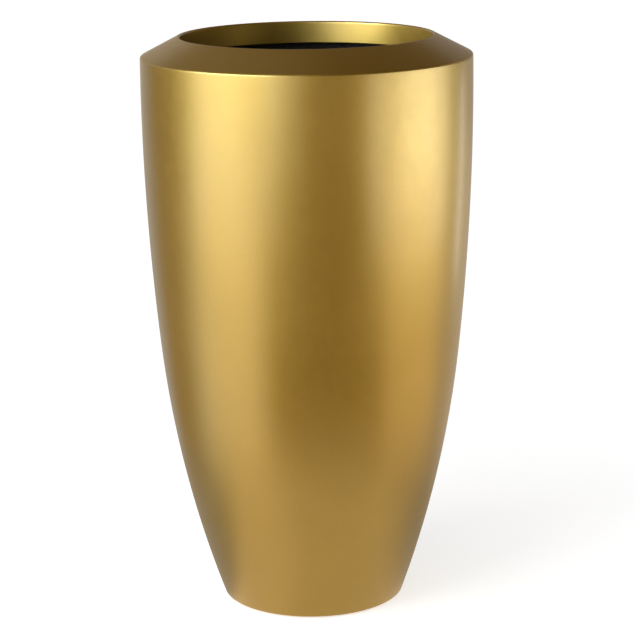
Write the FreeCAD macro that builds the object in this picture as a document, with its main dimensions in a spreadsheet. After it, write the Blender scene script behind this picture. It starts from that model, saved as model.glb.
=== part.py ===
"""Tall barrel planter moulded in glass-fibre laminate, standing on rubber feet.

Two laminate mouldings make the outside: a tapered, bowed shell with a recessed floor, and a rim
collar with a bevelled top and a return lip, which is spigoted into the shell and bonded there.
A plywood core under a laminate cover stiffens the floor, three bushed drain holes with pull-out
plugs pass through it, and four screwed feet carry the weight.

Millimetres, +Z up. The origin is on the floor, on the axis of the barrel.
"""
import FreeCAD, Part
import math
import os

import Sketcher

# Driving sizes: name, value, what it measures.
SIZES = [
    ("overall_height", 900, "floor to the top of the mouth edge"),
    ("belly_diameter", 514, "outside of the wall at its widest"),
    ("belly_height", 820, "floor to the widest point"),
    ("upper_bow", 4000, "radius of the wall's upper arc"),
    ("blend_height", 409, "floor to where the two arcs of the wall meet"),
    ("base_diameter", 287, "outer corner of the standing ring"),
    ("mouth_diameter", 390, "clear width inside the return lip"),
    ("rim_rise", 30, "shoulder corner to the top of the mouth edge"),
    ("lip_depth", 35, "top of the mouth edge to the lower edge of the lip"),
    ("laminate", 4, "wall of both mouldings"),
    ("shoulder_round", 4.5, "edge between wall and bevel"),
    ("mouth_round", 3, "edge between bevel and lip"),
    ("base_round", 4.5, "outer edge of the standing ring"),
    ("collar_drop", 8, "shoulder corner down to the bonded seam"),
    ("spigot_length", 30, "collar skirt inside the shell"),
    ("bond_gap", 0.3, "space left for adhesive round bonded pieces"),
    ("bead_height", 9, "adhesive bead under the collar skirt"),
    ("bead_width", 6, "adhesive bead, across its top"),
    ("bead_gap", 0.6, "adhesive bead to the bowed wall"),
    ("foot_stand", 2, "standing ring above the floor"),
    ("recess_depth", 10, "hollow under the floor"),
    ("ring_width", 22, "flat of the standing ring"),
    ("recess_draft", 3, "lean of the recess wall"),
    ("core_thickness", 12, "plywood floor core"),
    ("cover_skin", 3, "laminate over the core"),
    ("cover_lap", 14, "flange of the cover on the shell floor"),
    ("cover_margin", 2, "edge of that flange to the edge of the floor"),
    ("drain_count", 3, "drain holes"),
    ("drain_circle", 110, "diameter of the circle of drain holes"),
    ("drain_start", 30, "degrees, first drain hole"),
    ("drain_bore", 22, "inside of a drain bush"),
    ("bush_wall", 2, "tube of a drain bush"),
    ("bush_flange", 36, "flange diameter of a drain bush"),
    ("bush_flange_thickness", 2, "flange of a drain bush"),
    ("plug_clearance", 0.05, "plug stem to bush bore, each side"),
    ("plug_reach", 3, "plug stem below the bush"),
    ("plug_lead", 2, "chamfer at the end of the stem"),
    ("plug_flange", 31, "flange diameter of a plug"),
    ("plug_flange_thickness", 4, "flange of a plug"),
    ("plug_neck", 11, "neck diameter of the grip"),
    ("plug_neck_height", 9, "finger room under the grip"),
    ("plug_grip", 19, "diameter of the grip"),
    ("plug_grip_height", 8, "thickness of the grip"),
    ("plug_grip_chamfer", 2, "upper edge of the grip"),
    ("foot_count", 4, "rubber feet"),
    ("foot_circle", 180, "diameter of the circle of feet"),
    ("foot_start", 45, "degrees, first foot"),
    ("foot_diameter", 28, "outside of a foot"),
    ("foot_counterbore", 6, "depth of the screw recess in a foot"),
    ("screw_shank", 4, "shank diameter of a foot screw"),
    ("screw_play", 0.25, "space round a screw, each side"),
    ("screw_head", 9, "head diameter of a foot screw"),
    ("screw_head_height", 3, "head of a foot screw"),
    ("screw_head_chamfer", 1.2, "edge of that head"),
    ("screw_bite", 10, "length of the screw in the core"),
    ("screw_tip", 3, "tapered end of the screw"),
]

# Values worked out from the sizes: name, formula.
WORKED = [
    ("base_radius", "Sizes.base_diameter / 2"),
    ("mouth_radius", "Sizes.mouth_diameter / 2"),
    # The upper arc has its centre level with the belly.
    ("upper_x", "Sizes.belly_diameter / 2 - Sizes.upper_bow"),
    ("upper_bow_inside", "Sizes.upper_bow - Sizes.laminate"),
    ("blend_drop", "Sizes.belly_height - Sizes.blend_height"),
    ("blend_x", "upper_x + sqrt(Sizes.upper_bow ^ 2 - blend_drop ^ 2)"),
    # The lower arc is tangent to the upper one and ends on the corner of the standing ring.
    ("inward_x", "(upper_x - blend_x) / Sizes.upper_bow"),
    ("inward_z", "blend_drop / Sizes.upper_bow"),
    ("lower_run", "blend_x - base_radius"),
    ("lower_climb", "Sizes.blend_height - Sizes.foot_stand"),
    ("lower_lean", "lower_run * inward_x + lower_climb * inward_z"),
    ("lower_bow", "-(lower_run ^ 2 + lower_climb ^ 2) / (2 * lower_lean)"),
    ("lower_bow_inside", "lower_bow - Sizes.laminate"),
    ("lower_x", "blend_x + inward_x * lower_bow"),
    ("lower_z", "Sizes.blend_height + inward_z * lower_bow"),
    ("blend_inside_x", "blend_x + inward_x * Sizes.laminate"),
    ("blend_inside_z", "Sizes.blend_height + inward_z * Sizes.laminate"),
    # Heights and radii round the rim.
    ("shoulder_z", "Sizes.overall_height - Sizes.rim_rise"),
    ("shoulder_x", "upper_x + sqrt(Sizes.upper_bow ^ 2 - (shoulder_z - Sizes.belly_height) ^ 2)"),
    ("seam_z", "shoulder_z - Sizes.collar_drop"),
    ("seam_x", "upper_x + sqrt(Sizes.upper_bow ^ 2 - (seam_z - Sizes.belly_height) ^ 2)"),
    ("seam_inside_x", "upper_x + sqrt(upper_bow_inside ^ 2 - (seam_z - Sizes.belly_height) ^ 2)"),
    ("spigot_z", "seam_z - Sizes.spigot_length"),
    ("spigot_wall_x", "upper_x + sqrt(upper_bow_inside ^ 2 - (spigot_z - Sizes.belly_height) ^ 2)"),
    ("spigot_outside_x", "min(seam_inside_x; spigot_wall_x) - Sizes.bond_gap"),
    ("spigot_inside_x", "spigot_outside_x - Sizes.laminate"),
    ("lip_z", "Sizes.overall_height - Sizes.lip_depth"),
    ("lip_back_x", "mouth_radius + Sizes.laminate"),
    ("mouth_z", "Sizes.overall_height - Sizes.mouth_round"),
    # The bevel runs from the shoulder corner to a tangent of the mouth round.
    ("bevel_run", "mouth_radius + Sizes.mouth_round - shoulder_x"),
    ("bevel_climb", "mouth_z - shoulder_z"),
    ("bevel_span", "bevel_run ^ 2 + bevel_climb ^ 2"),
    ("bevel_length", "sqrt(bevel_span - Sizes.mouth_round ^ 2)"),
    ("bevel_dx", "(bevel_run * bevel_length + bevel_climb * Sizes.mouth_round) / bevel_span"),
    ("bevel_dz", "(bevel_climb * bevel_length - bevel_run * Sizes.mouth_round) / bevel_span"),
    ("bevel_end_x", "shoulder_x + bevel_length * bevel_dx"),
    ("bevel_end_z", "shoulder_z + bevel_length * bevel_dz"),
    ("under_x", "shoulder_x - Sizes.laminate * bevel_dz"),
    ("under_z", "shoulder_z + Sizes.laminate * bevel_dx"),
    ("under_lip_z", "under_z + (lip_back_x - under_x) * bevel_dz / bevel_dx"),
    ("under_spigot_z", "under_z + (spigot_inside_x - under_x) * bevel_dz / bevel_dx"),
    # Adhesive bead under the collar skirt, clear of the bowed wall.
    ("bead_low_z", "spigot_z - Sizes.bead_height"),
    ("bead_wall_x", "upper_x + sqrt(upper_bow_inside ^ 2 - (bead_low_z - Sizes.belly_height) ^ 2)"),
    ("bead_top_x", "spigot_wall_x - Sizes.bead_gap"),
    ("bead_low_x", "bead_wall_x - Sizes.bead_gap"),
    ("bead_inside_x", "bead_top_x - Sizes.bead_width"),
    # Floor recess and the pieces stacked on the floor.
    ("ring_inside_x", "base_radius - Sizes.ring_width"),
    ("recess_x", "ring_inside_x - Sizes.recess_draft"),
    ("recess_z", "Sizes.foot_stand + Sizes.recess_depth"),
    ("floor_z", "recess_z + Sizes.laminate"),
    ("moat_z", "Sizes.foot_stand + Sizes.laminate"),
    ("moat_outside_x", "lower_x + sqrt(lower_bow_inside ^ 2 - (moat_z - lower_z) ^ 2)"),
    ("moat_inside_x", "ring_inside_x + Sizes.laminate"),
    ("floor_x", "recess_x + Sizes.laminate"),
    ("core_z", "floor_z + Sizes.core_thickness"),
    ("cover_z", "core_z + Sizes.cover_skin"),
    ("lap_x", "floor_x - Sizes.cover_margin"),
    ("lap_z", "floor_z + Sizes.cover_skin"),
    ("cover_x", "lap_x - Sizes.cover_lap"),
    ("cover_inside_x", "cover_x - Sizes.cover_skin"),
    ("core_x", "cover_inside_x - Sizes.bond_gap"),
    # Drain fittings.
    ("drain_hole", "Sizes.drain_bore / 2 + Sizes.bush_wall + Sizes.bond_gap"),
    ("bush_x", "Sizes.drain_bore / 2 + Sizes.bush_wall"),
    ("bush_z", "cover_z + Sizes.bush_flange_thickness"),
    ("stem_x", "Sizes.drain_bore / 2 - Sizes.plug_clearance"),
    ("stem_tip_z", "recess_z - Sizes.plug_reach"),
    ("stem_lead_z", "stem_tip_z + Sizes.plug_lead"),
    ("plug_flange_z", "bush_z + Sizes.plug_flange_thickness"),
    ("grip_z", "plug_flange_z + Sizes.plug_neck_height"),
    ("grip_top_z", "grip_z + Sizes.plug_grip_height"),
    # Feet and their screws.
    ("screw_hole", "Sizes.screw_shank / 2 + Sizes.screw_play"),
    ("counterbore", "Sizes.screw_head / 2 + Sizes.screw_play"),
    ("screw_axis_x", "Sizes.foot_circle / 2"),
    ("screw_shank_x", "screw_axis_x + Sizes.screw_shank / 2"),
    ("screw_head_x", "screw_axis_x + Sizes.screw_head / 2"),
    ("screw_head_z", "Sizes.foot_counterbore - Sizes.screw_head_height"),
    ("screw_end_z", "floor_z + Sizes.screw_bite"),
]

doc = FreeCAD.newDocument("barrel_planter")


def make_sheet(name, rows):
    """Spreadsheet with one aliased row for each value."""
    sheet = doc.addObject("Spreadsheet::Sheet", name)
    for number, row in enumerate(rows, start=1):
        sheet.set(f"A{number}", row[0])
        sheet.set(f"B{number}", str(row[1]))
        sheet.setAlias(f"B{number}", row[0])
        if len(row) > 2:
            sheet.set(f"C{number}", row[2])
    return sheet


sizes = make_sheet("Sizes", SIZES)
make_sheet("Worked", [(name, "=" + formula) for name, formula in WORKED])
doc.recompute()


def number(expression):
    """Present value of an expression in the sheets' names."""
    return float(sizes.evalExpression(expression))


def origin_feature(body, role):
    """Origin plane or axis of a body."""
    return next(feature for feature in body.Origin.OriginFeatures if feature.Role == role)


def new_body(label):
    body = doc.addObject("PartDesign::Body", label)
    body.Label = label
    return body


def new_sketch(body, name, plane):
    sketch = body.newObject("Sketcher::SketchObject", name)
    sketch.AttachmentSupport = [(origin_feature(body, plane), "")]
    sketch.MapMode = "FlatFace"
    return sketch


def hold(sketch, kind, *where, expression):
    """Add one dimension to a sketch and bind it to an expression."""
    index = sketch.addConstraint(Sketcher.Constraint(kind, *where, number(expression)))
    sketch.setExpression(f"Constraints[{index}]", expression)


def hold_point(sketch, geometry, end, x, z):
    """Fix one end of a line or an arc at a place given by two expressions."""
    horizontal_axis, vertical_axis = -1, -2
    if x == "0":
        sketch.addConstraint(Sketcher.Constraint("PointOnObject", geometry, end, vertical_axis))
    else:
        hold(sketch, "DistanceX", -1, 1, geometry, end, expression=x)
    if z == "0":
        sketch.addConstraint(Sketcher.Constraint("PointOnObject", geometry, end, horizontal_axis))
    else:
        hold(sketch, "DistanceY", -1, 1, geometry, end, expression=z)


def arc_between(start, end, radius, centre_on_left):
    """Short arc from start to end, as the counter-clockwise arc that a sketch holds."""
    chord = end - start
    left = FreeCAD.Vector(-chord.y, chord.x, 0).normalize()
    reach = math.sqrt(radius ** 2 - (chord.Length / 2) ** 2)
    centre = (start + end) / 2 + left * (reach if centre_on_left else -reach)
    first, last = (start, end) if centre_on_left else (end, start)
    angles = [math.atan2(point.y - centre.y, point.x - centre.x) for point in (first, last)]
    circle = Part.Circle(centre, FreeCAD.Vector(0, 0, 1), radius)
    return Part.ArcOfCircle(circle, angles[0], angles[1])


def outline(sketch, corners):
    """Closed outline through corners (x, z) or (x, z, radius, side).

    With a radius, the edge that leaves the corner is an arc whose centre lies on that side of
    the way along it.
    """
    points = [FreeCAD.Vector(number(corner[0]), number(corner[1]), 0) for corner in corners]
    start_ends = []
    for index, corner in enumerate(corners):
        start, end = points[index], points[(index + 1) % len(points)]
        if len(corner) == 2:
            sketch.addGeometry(Part.LineSegment(start, end), False)
            start_ends.append(1)
        else:
            on_left = corner[3] == "left"
            sketch.addGeometry(arc_between(start, end, number(corner[2]), on_left), False)
            start_ends.append(1 if on_left else 2)
    for index, corner in enumerate(corners):
        before = index - 1 if index else len(corners) - 1
        end_before = 3 - start_ends[before]
        joined = Sketcher.Constraint("Coincident", before, end_before, index, start_ends[index])
        sketch.addConstraint(joined)
        hold_point(sketch, index, start_ends[index], corner[0], corner[1])
        if len(corner) > 2:
            hold(sketch, "Radius", index, expression=corner[2])


def turn(body, corners):
    """Revolve an outline about the body's vertical axis."""
    sketch = new_sketch(body, body.Label + "_outline", "XZ_Plane")
    outline(sketch, corners)
    feature = body.newObject("PartDesign::Revolution", body.Label + "_turned")
    feature.Profile = sketch
    feature.ReferenceAxis = (sketch, ["V_Axis"])
    feature.Angle = 360
    doc.recompute()
    return feature


def ring_edge(feature, corner):
    """Name of the circular edge about the vertical axis that passes through a corner (x, z)."""
    tolerance = 1e-4
    x, z = number(corner[0]), number(corner[1])
    for index, edge in enumerate(feature.Shape.Edges, start=1):
        if not isinstance(edge.Curve, Part.Circle):
            continue
        if math.hypot(edge.Curve.Radius - x, edge.Curve.Center.z - z) < tolerance:
            return f"Edge{index}"
    raise RuntimeError(f"{feature.Label} has no edge at {x:.3f}, {z:.3f}")


def soften(body, kind, feature, corner, size):
    """Round or chamfer the turned edge at a corner."""
    softened = body.newObject("PartDesign::" + kind, body.Label + "_" + size)
    softened.Base = (feature, [ring_edge(feature, corner)])
    softened.setExpression("Radius" if kind == "Fillet" else "Size", "Sizes." + size)
    doc.recompute()


def circle_place(circle, start, index=0, count="1"):
    """Expressions for the x and y of one of some evenly spaced places on a circle."""
    angle = f"(Sizes.{start} + 360 * {index} / {count})"
    return f"Sizes.{circle} / 2 * cos({angle})", f"Sizes.{circle} / 2 * sin({angle})"


def drill(body, radius, circle, start, count):
    """Holes right through a body, evenly spaced on a circle."""
    sketch = new_sketch(body, body.Label + "_" + radius, "XY_Plane")
    x, y = circle_place(circle, start)
    centre = FreeCAD.Vector(number(x), number(y), 0)
    hole_radius = number("Worked." + radius)
    sketch.addGeometry(Part.Circle(centre, FreeCAD.Vector(0, 0, 1), hole_radius), False)
    hold_point(sketch, 0, 3, x, y)
    hold(sketch, "Radius", 0, expression="Worked." + radius)
    volume_before = body.Shape.Volume
    hole = body.newObject("PartDesign::Pocket", body.Label + "_" + radius + "_cut")
    hole.Profile = sketch
    hole.Type = "ThroughAll"
    hole.Midplane = True
    doc.recompute()
    pattern = body.newObject("PartDesign::PolarPattern", body.Label + "_" + radius + "_ring")
    pattern.Originals = [hole]
    pattern.Axis = (origin_feature(body, "Z_Axis"), [""])
    pattern.Angle = 360
    pattern.setExpression("Occurrences", "Sizes." + count)
    body.Tip = pattern
    doc.recompute()
    if body.Shape.Volume >= volume_before:
        raise RuntimeError(f"{pattern.Label} cut nothing")


def drill_floor(body):
    """Drain and screw holes that pass through the stacked pieces of the floor."""
    drill(body, "drain_hole", "drain_circle", "drain_start", "drain_count")
    drill(body, "screw_hole", "foot_circle", "foot_start", "foot_count")


def stand(body, circle, start, index, count):
    """Place a body at one of the evenly spaced places on a circle."""
    x, y = circle_place(circle, start, index, "Sizes." + count)
    body.setExpression(".Placement.Base.x", x)
    body.setExpression(".Placement.Base.y", y)


def body_shell():
    """Bowed, tapered wall with a standing ring, a moat inside it and a raised floor."""
    body = new_body("body_shell")
    ring_corner = ("Worked.base_radius", "Sizes.foot_stand")
    turned = turn(body, [
        ("Worked.ring_inside_x", "Sizes.foot_stand"),
        (*ring_corner, "Worked.lower_bow", "left"),
        ("Worked.blend_x", "Sizes.blend_height", "Sizes.upper_bow", "left"),
        ("Worked.seam_x", "Worked.seam_z"),
        ("Worked.seam_inside_x", "Worked.seam_z", "Worked.upper_bow_inside", "right"),
        ("Worked.blend_inside_x", "Worked.blend_inside_z", "Worked.lower_bow_inside", "right"),
        ("Worked.moat_outside_x", "Worked.moat_z"),
        ("Worked.moat_inside_x", "Worked.moat_z"),
        ("Worked.floor_x", "Worked.floor_z"),
        ("0", "Worked.floor_z"),
        ("0", "Worked.recess_z"),
        ("Worked.recess_x", "Worked.recess_z"),
    ])
    soften(body, "Fillet", turned, ring_corner, "base_round")
    drill_floor(body)
    return body


def rim_collar():
    """Top of the wall, shoulder, bevel, mouth edge and return lip, with a skirt that spigots."""
    body = new_body("rim_collar")
    shoulder = ("Worked.shoulder_x", "Worked.shoulder_z")
    turned = turn(body, [
        ("Worked.seam_x", "Worked.seam_z"),
        shoulder,
        ("Worked.bevel_end_x", "Worked.bevel_end_z", "Sizes.mouth_round", "left"),
        ("Worked.mouth_radius", "Worked.mouth_z"),
        ("Worked.mouth_radius", "Worked.lip_z"),
        ("Worked.lip_back_x", "Worked.lip_z"),
        ("Worked.lip_back_x", "Worked.under_lip_z"),
        ("Worked.spigot_inside_x", "Worked.under_spigot_z"),
        ("Worked.spigot_inside_x", "Worked.spigot_z"),
        ("Worked.spigot_outside_x", "Worked.spigot_z"),
        ("Worked.spigot_outside_x", "Worked.seam_z"),
    ])
    soften(body, "Fillet", turned, shoulder, "shoulder_round")
    return body


def rim_bond_bead():
    """Fillet of bonding paste in the corner under the collar skirt."""
    body = new_body("rim_bond_bead")
    turn(body, [
        ("Worked.bead_inside_x", "Worked.spigot_z"),
        ("Worked.bead_low_x", "Worked.bead_low_z"),
        ("Worked.bead_top_x", "Worked.spigot_z"),
    ])
    return body


def floor_core():
    """Plywood disc that stiffens the floor and takes the foot screws."""
    body = new_body("floor_core")
    turn(body, [
        ("0", "Worked.floor_z"),
        ("Worked.core_x", "Worked.floor_z"),
        ("Worked.core_x", "Worked.core_z"),
        ("0", "Worked.core_z"),
    ])
    drill_floor(body)
    return body


def floor_cover():
    """Laminate hat over the core, lapped on to the shell floor to keep water out of the wood."""
    body = new_body("floor_cover")
    turn(body, [
        ("0", "Worked.core_z"),
        ("Worked.cover_inside_x", "Worked.core_z"),
        ("Worked.cover_inside_x", "Worked.floor_z"),
        ("Worked.lap_x", "Worked.floor_z"),
        ("Worked.lap_x", "Worked.lap_z"),
        ("Worked.cover_x", "Worked.lap_z"),
        ("Worked.cover_x", "Worked.cover_z"),
        ("0", "Worked.cover_z"),
    ])
    drill(body, "drain_hole", "drain_circle", "drain_start", "drain_count")
    return body


def drain_bush(index):
    """Flanged tube that lines one drain hole."""
    body = new_body(f"drain_bush_{index + 1}")
    turn(body, [
        ("Sizes.drain_bore / 2", "Worked.recess_z"),
        ("Worked.bush_x", "Worked.recess_z"),
        ("Worked.bush_x", "Worked.cover_z"),
        ("Sizes.bush_flange / 2", "Worked.cover_z"),
        ("Sizes.bush_flange / 2", "Worked.bush_z"),
        ("Sizes.drain_bore / 2", "Worked.bush_z"),
    ])
    stand(body, "drain_circle", "drain_start", index, "drain_count")
    return body


def drain_plug(index):
    """Rubber stopper: chamfered stem, flange on the bush, and a grip to pull it by."""
    body = new_body(f"drain_plug_{index + 1}")
    grip_edge = ("Sizes.plug_grip / 2", "Worked.grip_top_z")
    turned = turn(body, [
        ("0", "Worked.stem_tip_z"),
        ("Worked.stem_x - Sizes.plug_lead", "Worked.stem_tip_z"),
        ("Worked.stem_x", "Worked.stem_lead_z"),
        ("Worked.stem_x", "Worked.bush_z"),
        ("Sizes.plug_flange / 2", "Worked.bush_z"),
        ("Sizes.plug_flange / 2", "Worked.plug_flange_z"),
        ("Sizes.plug_neck / 2", "Worked.plug_flange_z"),
        ("Sizes.plug_neck / 2", "Worked.grip_z"),
        ("Sizes.plug_grip / 2", "Worked.grip_z"),
        grip_edge,
        ("0", "Worked.grip_top_z"),
    ])
    soften(body, "Chamfer", turned, grip_edge, "plug_grip_chamfer")
    stand(body, "drain_circle", "drain_start", index, "drain_count")
    return body


def foot(index):
    """Round rubber foot with a counterbored screw hole."""
    body = new_body(f"foot_{index + 1}")
    turn(body, [
        ("Worked.counterbore", "0"),
        ("Sizes.foot_diameter / 2", "0"),
        ("Sizes.foot_diameter / 2", "Worked.recess_z"),
        ("Worked.screw_hole", "Worked.recess_z"),
        ("Worked.screw_hole", "Sizes.foot_counterbore"),
        ("Worked.counterbore", "Sizes.foot_counterbore"),
    ])
    stand(body, "foot_circle", "foot_start", index, "foot_count")
    return body


def foot_screws():
    """Screws from the feet up into the core, turned about their own axes."""
    body = new_body("foot_screws")
    body.AllowCompound = True
    sketch = new_sketch(body, "foot_screws_outline", "XZ_Plane")
    outline(sketch, [
        ("Worked.screw_axis_x", "Worked.screw_head_z"),
        ("Worked.screw_head_x - Sizes.screw_head_chamfer", "Worked.screw_head_z"),
        ("Worked.screw_head_x", "Worked.screw_head_z + Sizes.screw_head_chamfer"),
        ("Worked.screw_head_x", "Sizes.foot_counterbore"),
        ("Worked.screw_shank_x", "Sizes.foot_counterbore"),
        ("Worked.screw_shank_x", "Worked.screw_end_z - Sizes.screw_tip"),
        ("Worked.screw_axis_x", "Worked.screw_end_z"),
    ])
    low = FreeCAD.Vector(number("Worked.screw_axis_x"), 0, 0)
    high = FreeCAD.Vector(number("Worked.screw_axis_x"), number("Worked.screw_end_z"), 0)
    axis = sketch.addGeometry(Part.LineSegment(low, high), True)
    hold_point(sketch, axis, 1, "Worked.screw_axis_x", "0")
    hold_point(sketch, axis, 2, "Worked.screw_axis_x", "Worked.screw_end_z")
    doc.recompute()
    screw = body.newObject("PartDesign::Revolution", "foot_screw_turned")
    screw.Profile = sketch
    screw.ReferenceAxis = (sketch, ["Axis0"])
    screw.Angle = 360
    doc.recompute()
    ring = body.newObject("PartDesign::PolarPattern", "foot_screw_ring")
    ring.Originals = [screw]
    ring.Axis = (origin_feature(body, "Z_Axis"), [""])
    ring.Angle = 360
    ring.setExpression("Occurrences", "Sizes.foot_count")
    body.Tip = ring
    body.setExpression(".Placement.Rotation.Angle", "Sizes.foot_start")
    return body


def check(bodies):
    """Stop if anything in the document failed or a piece is not a sound solid."""
    for item in doc.Objects:
        if "Invalid" in item.State or "Error" in item.State:
            raise RuntimeError(f"{item.Label} failed: {item.State}")
    for body in bodies:
        if body.Shape.isNull() or not body.Shape.isValid() or body.Shape.Volume <= 0:
            raise RuntimeError(f"{body.Label} has no sound shape")


bodies = [body_shell(), rim_collar(), rim_bond_bead(), floor_core(), floor_cover(), foot_screws()]
for drain_index in range(int(number("Sizes.drain_count"))):
    bodies += [drain_bush(drain_index), drain_plug(drain_index)]
for foot_index in range(int(number("Sizes.foot_count"))):
    bodies.append(foot(foot_index))
doc.recompute()
check(bodies)

os.makedirs("parts", exist_ok=True)
for body in bodies:
    body.Shape.exportStep(f"parts/{body.Label}.step")
    solids = len(body.Shape.Solids)
    print(f"{body.Label}: {solids} solid(s), {body.Shape.Volume / 1000:.1f} cm3")
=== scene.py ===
"""Gold barrel planter: finished surfaces, studio and camera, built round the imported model.

Metres, +Z up. The origin is on the floor, on the axis of the barrel, and the camera stands at -Y.
"""
import math
import random

import bmesh
import bpy
from mathutils import Matrix, Vector


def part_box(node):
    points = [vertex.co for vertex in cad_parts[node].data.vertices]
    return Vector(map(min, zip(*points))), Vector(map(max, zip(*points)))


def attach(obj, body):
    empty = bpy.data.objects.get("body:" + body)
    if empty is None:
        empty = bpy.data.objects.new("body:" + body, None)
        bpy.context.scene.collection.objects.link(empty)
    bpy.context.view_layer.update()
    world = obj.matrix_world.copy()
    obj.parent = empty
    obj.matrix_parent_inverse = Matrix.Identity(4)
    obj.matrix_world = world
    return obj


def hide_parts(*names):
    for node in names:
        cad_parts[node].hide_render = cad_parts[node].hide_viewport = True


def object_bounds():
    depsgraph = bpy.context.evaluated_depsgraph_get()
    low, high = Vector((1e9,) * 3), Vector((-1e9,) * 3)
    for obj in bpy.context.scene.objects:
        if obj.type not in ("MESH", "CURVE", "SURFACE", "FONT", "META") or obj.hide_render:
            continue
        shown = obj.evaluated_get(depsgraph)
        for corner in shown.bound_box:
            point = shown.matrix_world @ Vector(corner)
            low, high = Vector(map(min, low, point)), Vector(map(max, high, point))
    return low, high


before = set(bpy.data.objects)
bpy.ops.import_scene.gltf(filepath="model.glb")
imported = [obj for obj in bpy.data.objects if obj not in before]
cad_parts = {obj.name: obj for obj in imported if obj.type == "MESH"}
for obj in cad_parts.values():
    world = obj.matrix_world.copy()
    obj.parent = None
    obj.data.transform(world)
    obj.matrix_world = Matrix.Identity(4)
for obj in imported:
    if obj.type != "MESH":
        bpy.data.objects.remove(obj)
cad_low, cad_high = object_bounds()

# Outline of the two mouldings.
HEIGHT = cad_high.z
BELLY_RADIUS = 0.2569
BELLY_HEIGHT = 0.820
UPPER_BOW = 4.0
BLEND_HEIGHT = 0.409
BASE_RADIUS = 0.1435
MOUTH_RADIUS = 0.195
RIM_RISE = 0.030
LIP_DEPTH = 0.035
LIP_DRAFT = 0.002
LAMINATE = 0.004
SEAM_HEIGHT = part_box("body_shell")[1].z
SPIGOT_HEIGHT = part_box("rim_collar")[0].z
FIT_GAP = 0.0003

# Rounded edges of the two mouldings.
SHOULDER_ROUND = 0.0045
MOUTH_ROUND = 0.003
LIP_ROUND = 0.0012
SKIRT_TOP_ROUND = 0.002
SKIRT_END_ROUND = 0.0008
BASE_ROUND = 0.0045
RING_ROUND = 0.0015
FLOOR_ROUND = 0.003

# Floor of the planter.
FOOT_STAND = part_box("body_shell")[0].z
RING_WIDTH = 0.022
RECESS_DRAFT = 0.003
RECESS_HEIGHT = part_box("foot_1")[1].z
FLOOR_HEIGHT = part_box("floor_core")[0].z
CORE_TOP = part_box("floor_core")[1].z
COVER_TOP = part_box("floor_cover")[1].z
COVER_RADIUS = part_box("floor_cover")[1].x
COVER_LAP = 0.014
COVER_SKIN = 0.003

# Drain fittings and feet. Sizes of round things are radii.
DRAINS = (1, 2, 3)
FEET = (1, 2, 3, 4)
DRAIN_BORE = 0.011
BUSH_WALL = 0.002
DRAIN_HOLE = DRAIN_BORE + BUSH_WALL + FIT_GAP
SCREW_HOLE = 0.00225
COUNTERBORE = 0.00475
COUNTERBORE_DEPTH = 0.006
SCREW_HEAD = 0.0045
SCREW_SHANK = 0.002

# Fineness of the meshes.
WALL_SEGMENTS = 256
SMALL_SEGMENTS = 72
SCREW_SEGMENTS = 36
OUTSIDE_STEPS = 150
INSIDE_STEPS = 80
SHARP_ANGLE = math.radians(35)
ON_AXIS = 1e-6

# Heights between which a hole is cut, below and above every floor piece.
CUT_LOW = -0.05
CUT_HIGH = 0.06

# Material slots of the mouldings.
GOLD_SIDE = 0
BARE_SIDE = 1

# Colours.
WHITE = (1.0, 1.0, 1.0, 1.0)
BLACK = (0.0, 0.0, 0.0, 1.0)
GOLD = (0.42, 0.316, 0.062, 1.0)
GOLD_DEEP = (0.392, 0.292, 0.052, 1.0)
GOLD_FLAKE = (0.49, 0.372, 0.095, 1.0)
RESIN_DARK = (0.030, 0.030, 0.031, 1.0)
RESIN_LIGHT = (0.060, 0.058, 0.055, 1.0)
GLASS_STRAND = (0.12, 0.115, 0.105, 1.0)
NYLON_DARK = (0.022, 0.022, 0.023, 1.0)
NYLON_LIGHT = (0.034, 0.034, 0.035, 1.0)
PLUG_DARK = (0.026, 0.026, 0.026, 1.0)
PLUG_LIGHT = (0.042, 0.041, 0.040, 1.0)
FOOT_DARK = (0.040, 0.040, 0.040, 1.0)
FOOT_LIGHT = (0.060, 0.059, 0.057, 1.0)
PASTE_DARK = (0.045, 0.042, 0.038, 1.0)
PASTE_LIGHT = (0.095, 0.088, 0.078, 1.0)
BIRCH_DARK = (0.40, 0.26, 0.14, 1.0)
BIRCH_LIGHT = (0.56, 0.40, 0.24, 1.0)
GLUE_LINE = (0.30, 0.18, 0.09, 1.0)
ZINC = (0.60, 0.60, 0.58, 1.0)
ZINC_TINT = (0.66, 0.64, 0.57, 1.0)
FLOOR_GREY = (0.83, 0.83, 0.83, 1.0)
FLOOR_PALE = (0.85, 0.85, 0.85, 1.0)

# Ranges: the whole from 0 to 1, most of a noise, and the roughness of each finish.
UNIT = (0.0, 1.0)
MOST_NOISE = (0.3, 0.7)
GOLD_ROUGHNESS = (0.38, 0.43)
RESIN_ROUGHNESS = (0.5, 0.75)
NYLON_ROUGHNESS = (0.35, 0.5)
PLUG_ROUGHNESS = (0.55, 0.75)
FOOT_ROUGHNESS = (0.6, 0.8)
PASTE_ROUGHNESS = (0.6, 0.85)
BIRCH_ROUGHNESS = (0.55, 0.75)
ZINC_ROUGHNESS = (0.25, 0.4)

# Grain of the moulded pieces as (scale, height).
NYLON_GRAIN = (1500.0, 0.00004)
RUBBER_GRAIN = (1100.0, 0.00008)

# Chopped strands of the laminate.
STRAND_LAYERS = 7
STRAND_SIZE = (0.05, 0.0013, 0.0013)
STRAND_EDGE = (0.58, 0.68)
GOLDEN_ANGLE = math.pi * (3 - math.sqrt(5))

# Sockets of a node that mixes colours.
MIX_FACTOR, MIX_FIRST, MIX_SECOND, MIX_RESULT = 0, 6, 7, 2

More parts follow.
